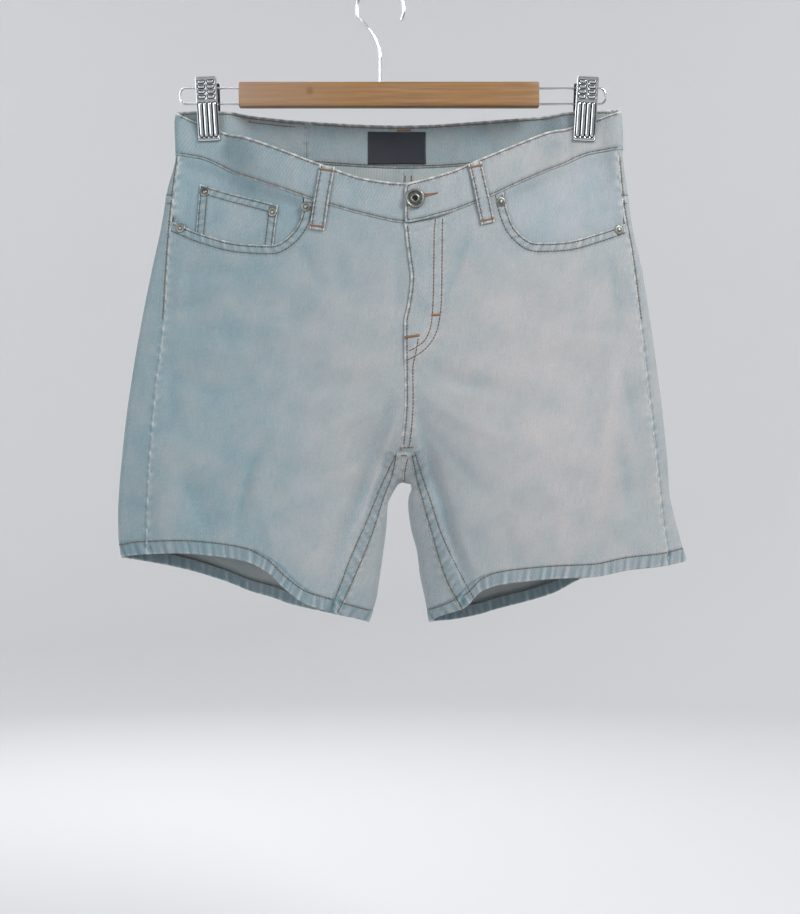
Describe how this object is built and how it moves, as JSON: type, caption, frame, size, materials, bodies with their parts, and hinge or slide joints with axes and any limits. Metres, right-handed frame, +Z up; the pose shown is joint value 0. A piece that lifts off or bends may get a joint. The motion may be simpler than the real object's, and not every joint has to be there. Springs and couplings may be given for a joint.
{
  "type": "denim shorts on a clip hanger",
  "caption": "Denim shorts with curved front pockets and a buttoned waistband, held at the waist by the metal clips of a wooden hanger.",
  "frame": {"origin": "the point inside the top of the hanger's hook that bears on the rail it hangs from", "axes": "+Z up, -Y the front of the shorts, -X the wearer's right side"},
  "size_m": [0.5285, 0.0946, 0.5936],
  "materials": {
    "denim": "washed light blue twill, matt",
    "label": "plain dark woven ribbon",
    "nickel": "antique nickel, worn",
    "chrome": "bright plated",
    "wood": "clear satin lacquer on pale wood"
  },
  "bodies": {
    "root": {"front_right": "denim", "front_left": "denim", "back_right": "denim", "back_left": "denim", "yoke_right": "denim", "yoke_left": "denim", "waistband_right": "denim", "waistband_left": "denim", "pocket_facing_right": "denim", "pocket_facing_left": "denim", "back_pocket_right": "denim", "back_pocket_left": "denim", "coin_pocket": "denim", "belt_loop_front_right": "denim", "belt_loop_front_left": "denim", "belt_loop_side_right": "denim", "belt_loop_side_left": "denim", "belt_loop_back": "denim", "label": "label", "button": "nickel", "rivet_mouth_right_side": "nickel", "rivet_mouth_right_front": "nickel", "rivet_coin_side": "nickel", "rivet_coin_front": "nickel", "rivet_mouth_left_front": "nickel", "rivet_mouth_left_side": "nickel", "hanger_bar": "wood", "hook": "chrome", "rail_right": "chrome", "rail_left": "chrome", "clip_right": "chrome", "clip_left": "chrome"}
  },
  "joints": []
}
